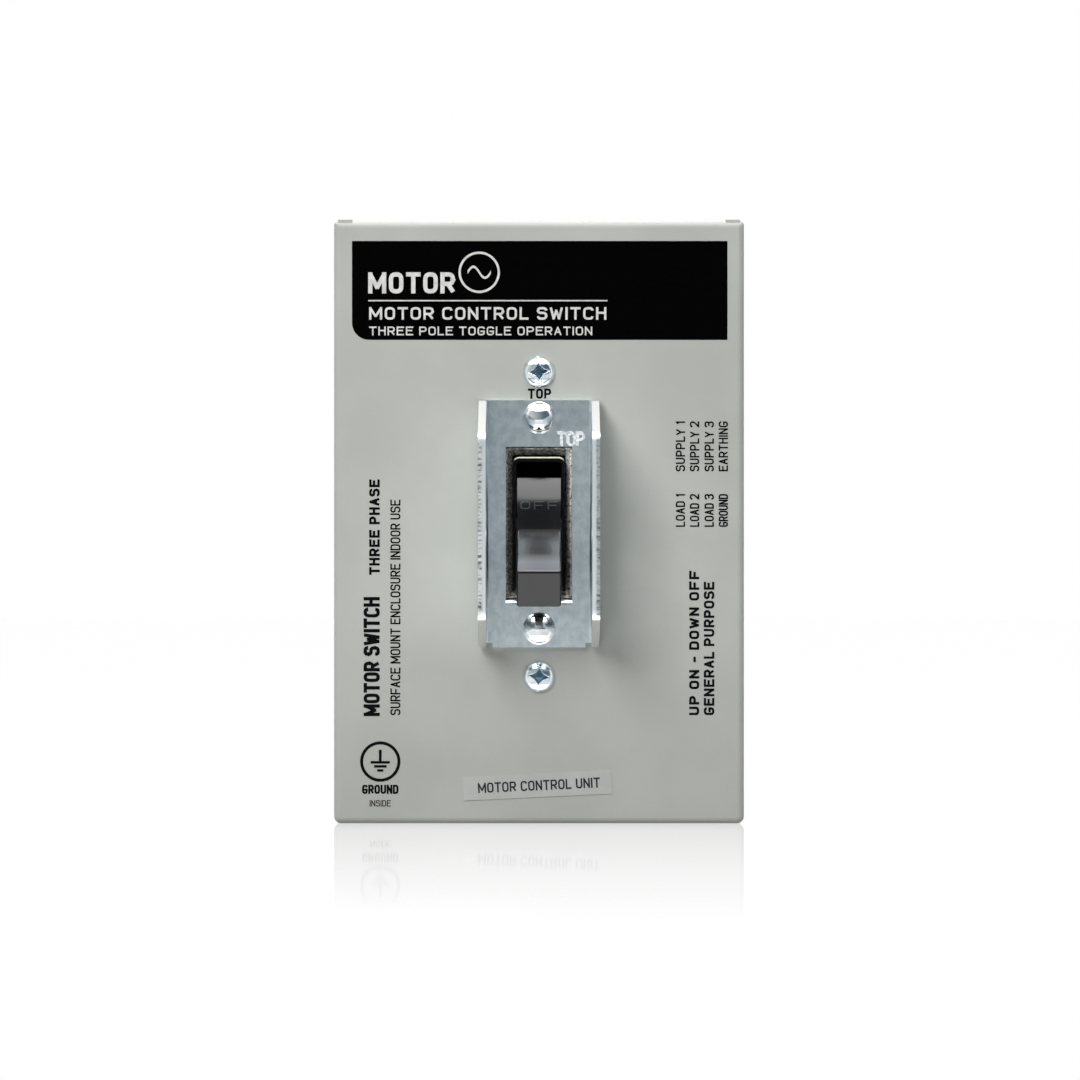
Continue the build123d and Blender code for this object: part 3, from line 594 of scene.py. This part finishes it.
HEAD_STEPS = 144
CROSS_REACH = (2.50 * MM, 2.05 * MM)
CROSS_DEEP = 1.15 * MM
SLOT_HALF = 0.40 * MM
SLOT_DEEP = 0.20 * MM
SHANK_RADIUS = 1.7 * MM
SHANK_LONG = 9.0 * MM


def head_height(x, z, turn):
    """Height of a screw head's surface above the cover, with its star recess punched in."""
    radius = math.hypot(x, z)
    share = min(1.0, radius / HEAD_RADIUS)
    dome = HEAD_HIGH * (1 - share ** 2.3) ** 0.6
    along = abs(x * math.cos(turn) + z * math.sin(turn))
    aside = abs(-x * math.sin(turn) + z * math.cos(turn))
    star = (along / CROSS_REACH[0]) ** 0.62 + (aside / CROSS_REACH[1]) ** 0.62
    recess = CROSS_DEEP * max(0.0, min(1.0, (1 - star) / 0.17))
    notch = max(0.0, min(1.0, (SLOT_HALF - along) / (0.15 * MM)))
    return max(0.0, dome - max(recess, SLOT_DEEP * notch * min(1.0, (1 - share) * 9)))


def screw_mesh(name, centres):
    """Both cover screws: a polar grid for each head, closed by a short shank behind."""
    shape = bmesh.new()
    for z_centre, turn in centres:
        grid = []
        for ring in range(1, HEAD_RINGS + 1):
            radius = HEAD_RADIUS * ring / HEAD_RINGS
            row = []
            for s in range(HEAD_STEPS):
                angle = 2 * math.pi * s / HEAD_STEPS
                x, z = radius * math.cos(angle), radius * math.sin(angle)
                high = head_height(x, z, turn) if ring < HEAD_RINGS else 0.12 * MM
                row.append(shape.verts.new((x, COVER_FACE - high, z_centre + z)))
            grid.append(row)
        middle = shape.verts.new((0, COVER_FACE - head_height(0, 0, turn), z_centre))
        for radius, depth in ((HEAD_RADIUS, 0.0), (SHANK_RADIUS, 0.0), (SHANK_RADIUS, SHANK_LONG)):
            grid.append([shape.verts.new((radius * math.cos(2 * math.pi * s / HEAD_STEPS),
                                          COVER_FACE + depth,
                                          z_centre + radius * math.sin(2 * math.pi * s / HEAD_STEPS)))
                         for s in range(HEAD_STEPS)])
        for s in range(HEAD_STEPS):
            after = (s + 1) % HEAD_STEPS
            shape.faces.new((middle, grid[0][s], grid[0][after]))
            for near, far in zip(grid, grid[1:]):
                shape.faces.new((near[s], far[s], far[after], near[after]))
        shape.faces.new(grid[-1])
    bmesh.ops.recalc_face_normals(shape, faces=shape.faces)
    mesh = bpy.data.meshes.new(name)
    shape.to_mesh(mesh)
    shape.free()
    for polygon in mesh.polygons:
        polygon.use_smooth = True
    return mesh


screw_low, screw_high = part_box("cover_screws")
upper_screw = screw_high.z - HEAD_RADIUS
lower_screw = screw_low.z + HEAD_RADIUS
turned = [(upper_screw, math.radians(4)), (lower_screw, math.radians(-6))]
screws = link("cover_screw_heads", screw_mesh("cover_screw_heads", turned),
              plated, "enclosure")
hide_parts("cover_screws")
dress("strap_screws", plated)
dress("body_screws", plated)

# ---------------------------------------------------------------------------
# Mounting strap: stamped galvanised steel behind the cover. Only the rough,
# sheared border of its window shows, as a ring around the bezel.
# ---------------------------------------------------------------------------
galvanised, tree, shader = start_material("galvanised_strap", Metallic=0.15)
crust = noise(tree, 0.8 * MM, 5, (1.0, 1.0, 1.6))
crust_in_painted_shade = ramp(tree, crust, [(0.34, (0.08, 0.077, 0.07, 1)), (0.48, (0.34, 0.33, 0.30, 1)),
                          (0.60, (0.66, 0.64, 0.60, 1))])
crust_in_painted_light = ramp(tree, crust, [(0.36, (0.16, 0.15, 0.13, 1)), (0.48, (0.95, 0.93, 0.88, 1)),
                           (0.60, (1.0, 0.98, 0.94, 1))])
# Painted shade and light: the border is painted dark left of x = 5 mm and pale right of it, as the light
# comes in from the left.
right_side = position_mask(tree, "X", 5.0 * MM, 5.4 * MM)
tree.links.new(mix(tree, right_side, crust_in_painted_shade, crust_in_painted_light), shader.inputs["Base Color"])
rough_between(tree, shader, crust, 0.5, 0.28)
bump(tree, shader, crust, 0.25 * MM, 0.9)
dress("mounting_strap", galvanised)

strap_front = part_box("mounting_strap")[0].y
slot_z = -0.1 * MM
chance = random.Random(41)
BURR_RINGS = 5
BURR_SPACING = 0.35 * MM


def burr_ring():
    """Torn border of the window: a lumpy slope from the slot's edge in to the bezel."""
    outer = Vector((6.45 * MM, -66.8 * MM, 14.85 * MM))
    inner = Vector((5.25 * MM, -64.0 * MM, 13.45 * MM))
    corners = ((-1, -1), (1, -1), (1, 1), (-1, 1))
    around = []
    for index, (near_x, near_z) in enumerate(corners):
        far_x, far_z = corners[(index + 1) % 4]
        length = abs(far_x - near_x) * outer.x + abs(far_z - near_z) * outer.z
        count = round(length / BURR_SPACING)
        for step in range(count):
            share = step / count
            around.append((near_x + (far_x - near_x) * share, near_z + (far_z - near_z) * share))
    shape = bmesh.new()
    rows = []
    for ring in range(BURR_RINGS):
        edge = outer.lerp(inner, ring / (BURR_RINGS - 1))
        rough = 0.0 if ring in (0, BURR_RINGS - 1) else 1.0
        row = []
        for x, z in around:
            spread = rough * chance.uniform(-0.10, 0.10) * MM
            lump = rough * (chance.uniform(0, 1) ** 2 * 0.65 - 0.2) * MM
            row.append(shape.verts.new((x * edge.x + spread, edge.y - lump, slot_z + z * edge.z + spread)))
        rows.append(row)
    for edge in (inner, outer):
        rows.append([shape.verts.new((x * edge.x, strap_front - 0.02 * MM, slot_z + z * edge.z))
                     for x, z in around])
    total = len(around)
    for near, far in zip(rows, rows[1:] + rows[:1]):
        for s in range(total):
            shape.faces.new((near[s], near[(s + 1) % total], far[(s + 1) % total], far[s]))
    bmesh.ops.recalc_face_normals(shape, faces=shape.faces)
    mesh = bpy.data.meshes.new("strap_window_burr")
    shape.to_mesh(mesh)
    shape.free()
    for polygon in mesh.polygons:
        polygon.use_smooth = True
    return mesh


link("strap_window_burr", burr_ring(), galvanised, "enclosure")

# ---------------------------------------------------------------------------
# Switch housing: base and face compression moulded in black phenolic, with a
# smooth bezel collar that stands through the strap, cover and guard.
# ---------------------------------------------------------------------------


def phenolic(name, colour, low, high, gloss=0.5, stretch=(1, 1, 1), depth=0.006):
    """Compression-moulded phenolic: nearly black, with faint flow marks and fine pitting."""
    material, tree, shader = start_material(name, Specular_IOR_Level=gloss)
    flow = noise(tree, 5 * MM, 4, (1.0, 1.0, 0.5))
    dark = tuple(c * 0.8 for c in colour) + (1,)
    light = tuple(c * 1.25 for c in colour) + (1,)
    tree.links.new(ramp(tree, flow, [(0.3, dark), (0.7, light)]), shader.inputs["Base Color"])
    rough_between(tree, shader, flow, low, high)
    bump(tree, shader, noise(tree, 0.4 * MM, 3, stretch), depth * MM, 0.3)
    return material


housing = phenolic("black_phenolic", (0.002, 0.002, 0.0022), 0.16, 0.26, 0.15)
bezel = phenolic("bezel_phenolic", (0.002, 0.002, 0.0022), 0.16, 0.26, 0.15)
tree = bezel.node_tree
shader = tree.nodes["Principled BSDF"]
BEZEL_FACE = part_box("switch_face")[0].y
BEZEL_TOP = 12.95 * MM
# Painted highlight: a cream line is painted along the upward faces at the bezel's top front edge, for the
# overhead light.
upper_edge = position_mask(tree, "Z", BEZEL_TOP - 0.9 * MM, BEZEL_TOP - 0.6 * MM)
front_edge = position_mask(tree, "Y", BEZEL_FACE + 1.0 * MM, BEZEL_FACE + 0.7 * MM)
top_edge_painted_highlight = multiply(tree, multiply(tree, facing_mask(tree, "Z", 0.25, 0.55), upper_edge), front_edge)
black = shader.inputs["Base Color"].links[0].from_socket
tree.links.new(mix(tree, top_edge_painted_highlight, black, (0.62, 0.60, 0.50, 1)), shader.inputs["Base Color"])
dress("switch_face", bezel)
dress("switch_base", housing)

# ---------------------------------------------------------------------------
# Toggle: one phenolic moulding with a square-ended lever, a hub that closes
# the bezel, and the words ON and OFF raised on the hub.
# ---------------------------------------------------------------------------
lever = phenolic("toggle_phenolic", (0.004, 0.004, 0.005), 0.14, 0.22, 0.36,
                 (1, 0.06, 0.06), 0.03)
tree = lever.node_tree
shader = tree.nodes["Principled BSDF"]
# Painted highlight: the upward face of the lever towards its end is painted grey, for the overhead light.
upper_face_painted_highlight = multiply(tree, facing_mask(tree, "Z", 0.5, 0.8), position_mask(tree, "Y", -79.5 * MM, -82.0 * MM))
black = shader.inputs["Base Color"].links[0].from_socket
tree.links.new(mix(tree, upper_face_painted_highlight, black, (0.13, 0.135, 0.145, 1)), shader.inputs["Base Color"])
dress("toggle_handle", lever)
worn = phenolic("toggle_letters", (0.035, 0.035, 0.038), 0.2, 0.3, 0.4)
hinge = next(j for j in frame["joints"] if j["name"] == "toggle_pivot")
pivot = Vector(hinge["pos_m"])
HUB_RADIUS = 12.6 * MM
HUB_WORD_WIDE = 7.4 * MM
HUB_WORD_HIGH = 1.7 * MM
HUB_WORD_ANGLE = math.radians(17)
THROW = math.radians(29)


def hub_word(name, words, middle, up):
    """Raised letters wrapped on the hub, centred at an angle above straight out."""
    made = print_words(name, words, -HUB_WORD_WIDE / 2, 0.0, HUB_WORD_WIDE, HUB_WORD_HIGH, worn,
                       layer=1, weight=0.17, front=0.0, body="toggle")
    for vertex in made.data.vertices:
        angle = middle + up * (vertex.co.z - HUB_WORD_HIGH / 2) / HUB_RADIUS
        radius = HUB_RADIUS + (0.15 * MM if vertex.co.y < -0.5 * INK_THICK else -0.10 * MM)
        across = vertex.co.x * up
        vertex.co = pivot + Vector((across, -radius * math.cos(angle), radius * math.sin(angle)))
    return made


hub_word("toggle_word_off", "OFF", HUB_WORD_ANGLE, 1)
hub_word("toggle_word_on", "ON", -2 * THROW - HUB_WORD_ANGLE, 1)

# ---------------------------------------------------------------------------
# Inner works, hidden in the box: copper contacts and terminals, silver
# buttons, brass binding screws, steel springs, and a red moulded crossbar.
# ---------------------------------------------------------------------------


def worked_metal(name, low_colour, high_colour, low, high, grain=1.5 * MM):
    """Stamped or turned metal: tarnish in clouds, with fine tool lines."""
    material, tree, shader = start_material(name, Metallic=1.0)
    tarnish = noise(tree, grain, 5)
    colour = ramp(tree, tarnish, [(0.3, low_colour), (0.7, high_colour)])
    tree.links.new(colour, shader.inputs["Base Color"])
    rough_between(tree, shader, tarnish, low, high)
    bump(tree, shader, noise(tree, 0.3 * MM, 2, (1, 1, 0.2)), 0.008 * MM, 0.5)
    return material


copper = worked_metal("copper", (0.52, 0.22, 0.13, 1), (0.80, 0.42, 0.28, 1), 0.22, 0.38)
silver = worked_metal("contact_silver", (0.62, 0.60, 0.56, 1), (0.86, 0.85, 0.82, 1), 0.2, 0.36)
brass = worked_metal("screw_brass", (0.55, 0.38, 0.15, 1), (0.80, 0.60, 0.30, 1), 0.2, 0.34)
wire = worked_metal("spring_wire", (0.36, 0.36, 0.36, 1), (0.62, 0.62, 0.62, 1), 0.25, 0.4)
green = worked_metal("earth_green", (0.02, 0.16, 0.06, 1), (0.05, 0.34, 0.12, 1), 0.25, 0.42)
brick = phenolic("crossbar_phenolic", (0.30, 0.055, 0.028), 0.34, 0.46)
for number in (1, 2, 3):
    dress(f"contact_bridge_{number}", copper)
    dress(f"line_terminal_{number}", copper)
    dress(f"load_terminal_{number}", copper)
    dress(f"contact_spring_{number}", wire)
for node in ("moving_contact_rivets", "fixed_contact_rivets"):
    dress(node, silver)
for node in ("line_terminal_screws", "load_terminal_screws"):
    dress(node, brass)
for node in ("line_wire_clamps", "load_wire_clamps"):
    dress(node, plated)
for node in ("detent_ball_left", "detent_ball_right"):
    dress(node, polished)
for node in ("detent_spring_left", "detent_spring_right", "toggle_pin"):
    dress(node, wire)
dress("contact_carriage", brick)
dress("ground_screw", green)

# ---------------------------------------------------------------------------
# Guard stamping: the word TOP struck into the web by a hand punch, its letters
# painted pale as a painted highlight where they catch the light.
# ---------------------------------------------------------------------------
struck, tree, shader = start_material("struck_zinc", Metallic=0.35)
bright = noise(tree, 0.5 * MM, 3)
# Painted highlight: the letters' pale grey colour stands for the light they catch.
tree.links.new(ramp(tree, bright, [(0.35, (0.66, 0.70, 0.72, 1)), (0.65, (0.95, 0.96, 0.97, 1))]),
               shader.inputs["Base Color"])
rough_between(tree, shader, bright, 0.30, 0.5)
bump(tree, shader, bright, 0.05 * MM, 0.8)
print_words("guard_word_top", "TOP", 3.7 * MM, 15.1 * MM, 5.4 * MM, 2.7 * MM, struck, weight=0.17,
            front=WEB_FACE)
print_words("guard_word_top_echo", "TOP", 3.45 * MM, 15.35 * MM, 5.4 * MM, 2.7 * MM, struck,
            layer=1.6, weight=0.07, front=WEB_FACE)

# ---------------------------------------------------------------------------
# Studio: a pale glossy table, a broad softbox at the upper left, one overhead,
# and a long lens straight in front. The room ahead of the object is dim.
# ---------------------------------------------------------------------------
FLOOR_Z = cad_low.z
floor_mesh = flat_sheet("floor", [(-3, -0.42), (3, -0.42), (3, 3), (-3, 3)], 0, 0.01)
floor_mesh.transform(Matrix.Rotation(math.radians(-90), 4, "X"))
white_table, tree, shader = start_material("white_table", Roughness=0.5)
paper = noise(tree, 60 * MM, 2)
tree.links.new(ramp(tree, paper, [(0.3, (0.04, 0.04, 0.04, 1)), (0.7, (0.05, 0.05, 0.05, 1))]),
               shader.inputs["Base Color"])
shader.inputs["Specular IOR Level"].default_value = 0.0
shader.inputs["Emission Color"].default_value = (1, 1, 1, 1)
shader.inputs["Emission Strength"].default_value = 0.98
mirror = add_node(tree, "BsdfAnisotropic", Color=(1, 1, 1, 1), Roughness=0.04)
sheen = add_node(tree, "MapRange", Value=add_node(tree, "SeparateXYZ", Vector=add_node(
    tree, "TexCoord").outputs["Object"]).outputs["Y"], To_Min=0.0, To_Max=0.39)
sheen.inputs["From Min"].default_value = COVER_FACE - 0.36
sheen.inputs["From Max"].default_value = COVER_FACE
polish = add_node(tree, "MixShader")
tree.links.new(sheen.outputs["Result"], polish.inputs[0])
tree.links.new(shader.outputs["BSDF"], polish.inputs[1])
tree.links.new(mirror.outputs["BSDF"], polish.inputs[2])
tree.links.new(polish.outputs["Shader"], tree.nodes["Material Output"].inputs["Surface"])
floor = bpy.data.objects.new("floor", floor_mesh)
floor_mesh.materials.append(white_table)
floor.location = (0, 0, FLOOR_Z)
bpy.context.scene.collection.objects.link(floor)
floor.visible_diffuse = False
floor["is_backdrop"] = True


def softbox(name, place, aim, width, height, power):
    """Rectangular area light that points at a place, hidden from the lens and from reflections."""
    lamp = bpy.data.lights.new(name, "AREA")
    lamp.shape = "RECTANGLE"
    lamp.size = width
    lamp.size_y = height
    lamp.energy = power
    holder = bpy.data.objects.new(name, lamp)
    holder.location = place
    holder.rotation_mode = "QUATERNION"
    holder.rotation_quaternion = (Vector(aim) - Vector(place)).to_track_quat("-Z", "Y")
    holder.visible_glossy = False
    holder.visible_camera = False
    bpy.context.scene.collection.objects.link(holder)


MIDDLE = (0, -0.06, 0)
softbox("softbox_left", (-0.32, -0.80, 0.50), MIDDLE, 0.42, 0.42, 6.7)
softbox("softbox_top", (0, -0.10, 0.80), MIDDLE, 1.0, 1.0, 5.2)
# Light that the guard's bright left wall throws back on the cover.
glow_y = COVER_FACE - 12 * MM
softbox("guard_glow", (-12.2 * MM, glow_y, GUARD_MIDDLE), (-0.2, glow_y, GUARD_MIDDLE),
        20 * MM, 44 * MM, 0.0011)
softbox("softbox_front", (-0.17, -1.20, -0.08), MIDDLE, 0.12, 0.12, 1.7)
softbox("softbox_right", (0.95, -0.55, 0.25), MIDDLE, 0.5, 0.6, 0.8)

world = bpy.data.worlds.new("studio")
bpy.context.scene.world = world
world.use_nodes = True
sky = world.node_tree
sky.nodes.clear()
way = add_node(sky, "TexCoord").outputs["Generated"]
parts = add_node(sky, "SeparateXYZ", Vector=way)
# What the metal mirrors: a white tent with a bright panel overhead, and a dim room in front.
ahead = between(sky, parts.outputs["Y"], -0.20, -0.34)
below_ceiling = between(sky, parts.outputs["Z"], 0.74, 0.66)
dim = multiply(sky, ahead, below_ceiling)
to_right = between(sky, parts.outputs["X"], -0.8, 0.5)
room = mix(sky, to_right, (0.56, 0.60, 0.58, 1), (0.10, 0.14, 0.18, 1))
overhead = between(sky, parts.outputs["Z"], 0.60, 0.72)
around = mix(sky, overhead, (1.0, 1.0, 1.0, 1), (7.0, 7.0, 7.0, 1))
tent = mix(sky, dim, around, room)
lens = add_node(sky, "LightPath")
under = between(sky, parts.outputs["Z"], 0.1, -0.1)
fill = mix(sky, under, (0.19, 0.192, 0.19, 1), (0.38, 0.38, 0.375, 1))
lit = mix(sky, lens.outputs["Is Glossy Ray"], fill, tent)
shown = mix(sky, lens.outputs["Is Camera Ray"], lit, (1, 1, 1, 1))
glow = add_node(sky, "Background", Color=shown, Strength=1.0)
output = sky.nodes.new("ShaderNodeOutputWorld")
sky.links.new(glow.outputs["Background"], output.inputs["Surface"])

CAMERA_REACH = 1.20
FRAME_WIDE = 0.2140
camera_data = bpy.data.cameras.new("camera")
camera_data.sensor_width = 36.0
camera_data.lens = 36.0 * CAMERA_REACH / FRAME_WIDE
camera_data.clip_start = 0.05
camera = bpy.data.objects.new("camera", camera_data)
camera.location = (0.0002, COVER_FACE - CAMERA_REACH, -0.0035)
camera.rotation_euler = (math.radians(90), 0, 0)
bpy.context.scene.collection.objects.link(camera)
bpy.context.scene.camera = camera
bpy.context.scene.view_settings.view_transform = "Standard"

low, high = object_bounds()
